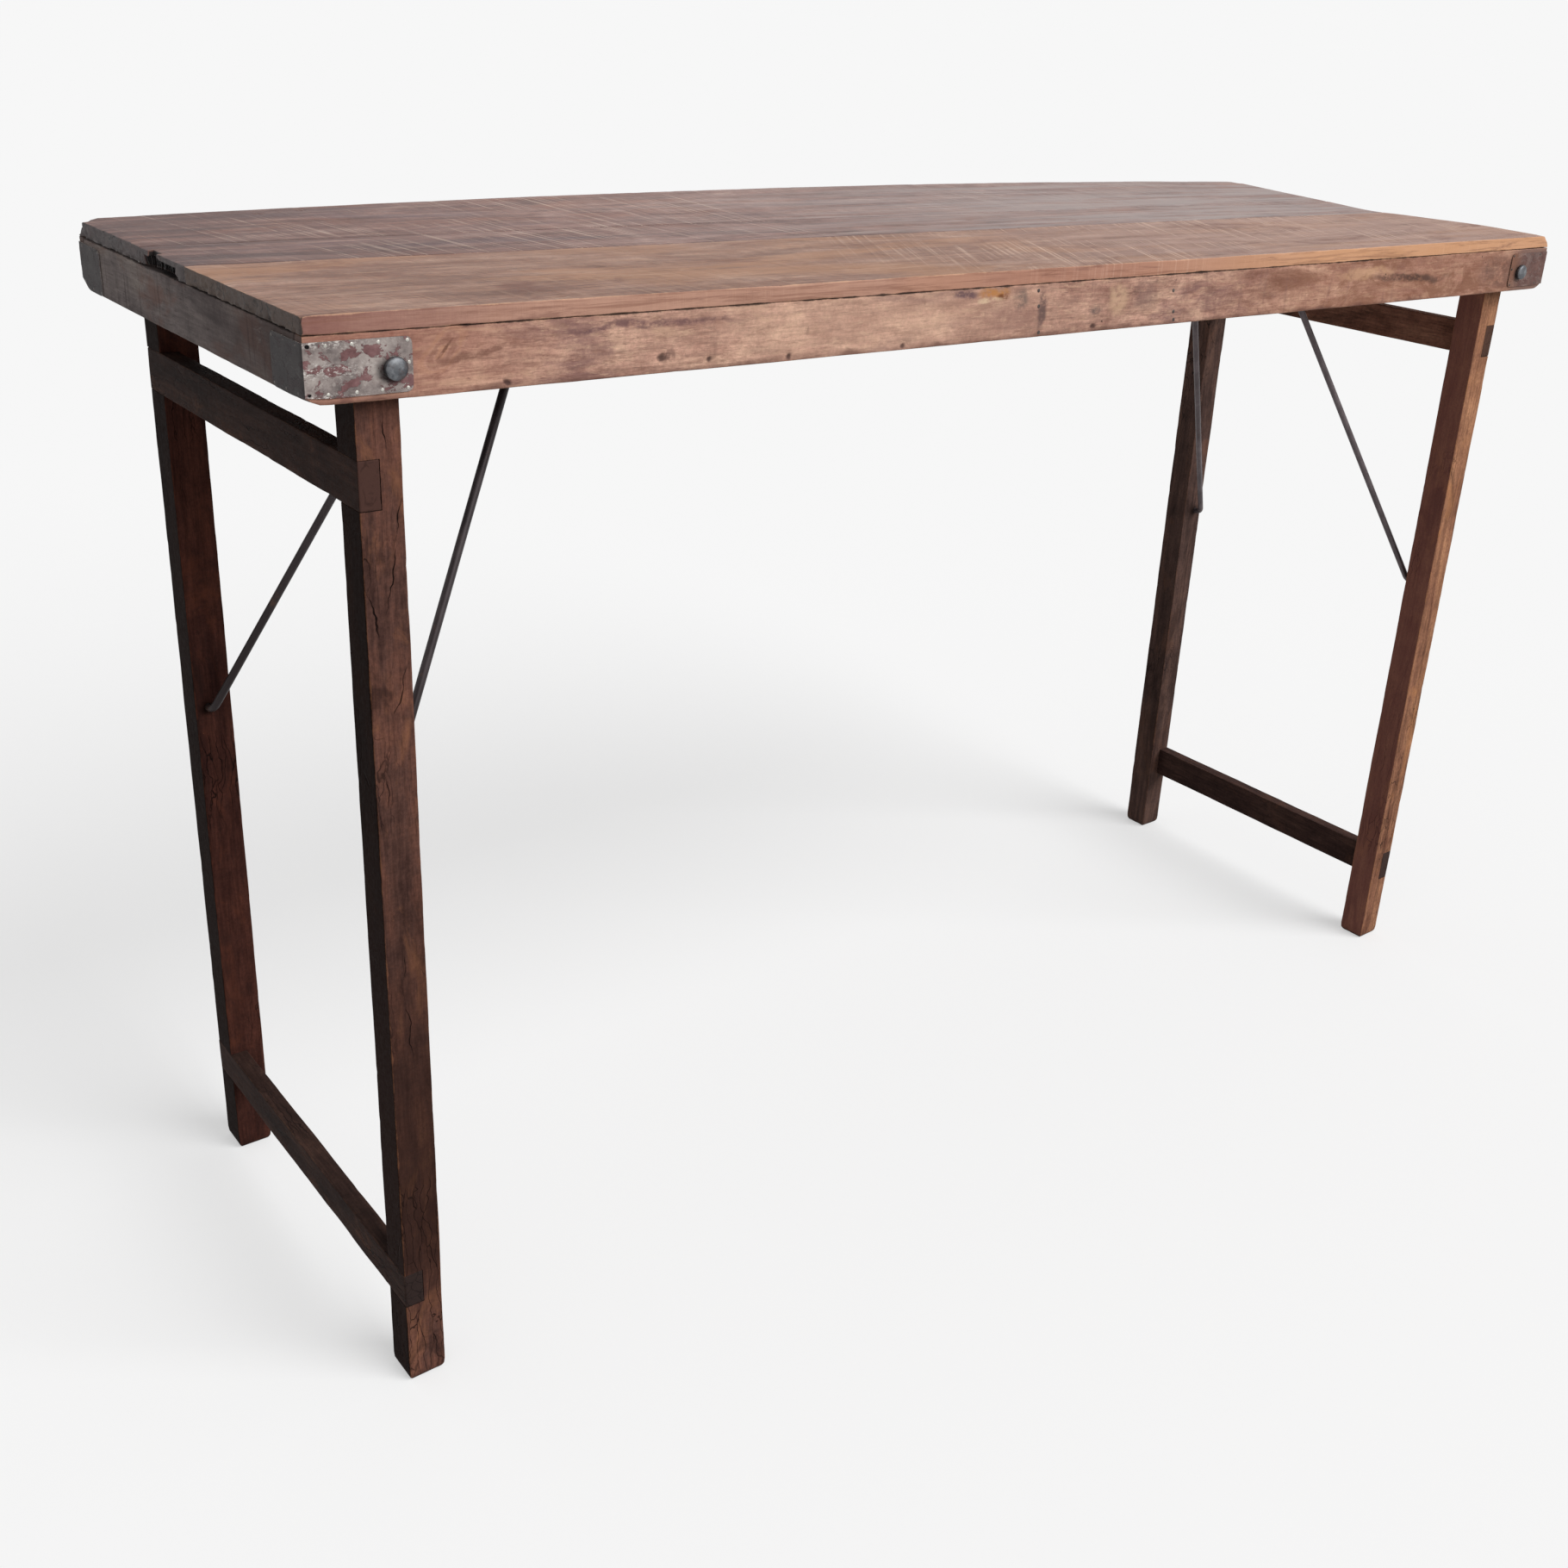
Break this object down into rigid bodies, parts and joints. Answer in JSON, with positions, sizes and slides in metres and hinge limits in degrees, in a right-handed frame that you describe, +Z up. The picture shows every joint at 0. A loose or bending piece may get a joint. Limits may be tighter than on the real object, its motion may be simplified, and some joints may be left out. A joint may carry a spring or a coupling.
{
  "type": "folding table",
  "caption": "Narrow folding table with a plank top on a box apron, hinged H-shaped leg frames that fold flat under the top, and bent iron-rod stays that brace them.",
  "frame": {"origin": "on the floor, under the middle of the table's box", "axes": "+X along the table, +Y from the front to the back, +Z up"},
  "size_m": [1.2316, 0.3964, 0.7733],
  "materials": {
    "tan_plank_wood": "bare, worn, saw-marked",
    "grey_plank_wood": "bare, greyed, streaked",
    "side_apron_wood": "bare, mottled",
    "end_apron_wood": "bare, dark with age",
    "batten_wood": "bare",
    "leg_wood": "dark red-brown, worn",
    "rail_wood": "dark brown, worn",
    "stay_iron": "dark, satin",
    "plate_tin": "flaking paint",
    "bolt_steel": "tarnished"
  },
  "bodies": {
    "table_top": {"front_plank": "tan_plank_wood", "middle_plank": "grey_plank_wood", "rear_plank": "grey_plank_wood", "left_middle_batten": "batten_wood", "right_middle_batten": "batten_wood", "left_keeper_batten": "batten_wood", "right_keeper_batten": "batten_wood", "front_apron": "side_apron_wood", "back_apron": "side_apron_wood", "left_end_apron": "end_apron_wood", "right_end_apron": "end_apron_wood", "front_left_corner_plate": "plate_tin", "front_right_corner_plate": "plate_tin", "back_left_corner_plate": "plate_tin", "back_right_corner_plate": "plate_tin", "pivot_bolts": "bolt_steel", "leg_washers": "bolt_steel", "apron_washers": "bolt_steel", "pivot_nuts": "bolt_steel", "keeper_hooks": "stay_iron"},
    "left_leg_frame": {"front_left_leg": "leg_wood", "back_left_leg": "leg_wood", "left_upper_rail": "rail_wood", "left_stretcher": "rail_wood"},
    "right_leg_frame": {"front_right_leg": "leg_wood", "back_right_leg": "leg_wood", "right_upper_rail": "rail_wood", "right_stretcher": "rail_wood"},
    "left_stay": {"left_stay": "stay_iron"},
    "right_stay": {"right_stay": "stay_iron"}
  },
  "joints": [
    {"name": "left_leg_fold", "type": "hinge", "parent": "table_top", "child": "left_leg_frame", "pos_m": [-0.56275, 0, 0.7302], "axis": [0, -1, 0], "range_deg": [0, 90]},
    {"name": "right_leg_fold", "type": "hinge", "parent": "table_top", "child": "right_leg_frame", "pos_m": [0.57275, 0, 0.7302], "axis": [0, 1, 0], "range_deg": [0, 84]},
    {"name": "left_stay_swing", "type": "hinge", "parent": "left_leg_frame", "child": "left_stay", "pos_m": [-0.57325, 0, 0.4065], "axis": [0, 1, 0], "range_deg": [0, 151.3]},
    {"name": "right_stay_swing", "type": "hinge", "parent": "right_leg_frame", "child": "right_stay", "pos_m": [0.57025, 0, 0.4065], "axis": [0, -1, 0], "range_deg": [0, 149.81]}
  ],
  "couplings": [
    {"joint": "left_stay_swing", "follows": "left_leg_fold", "ratio": 1.68},
    {"joint": "right_stay_swing", "follows": "right_leg_fold", "ratio": 1.7823}
  ]
}
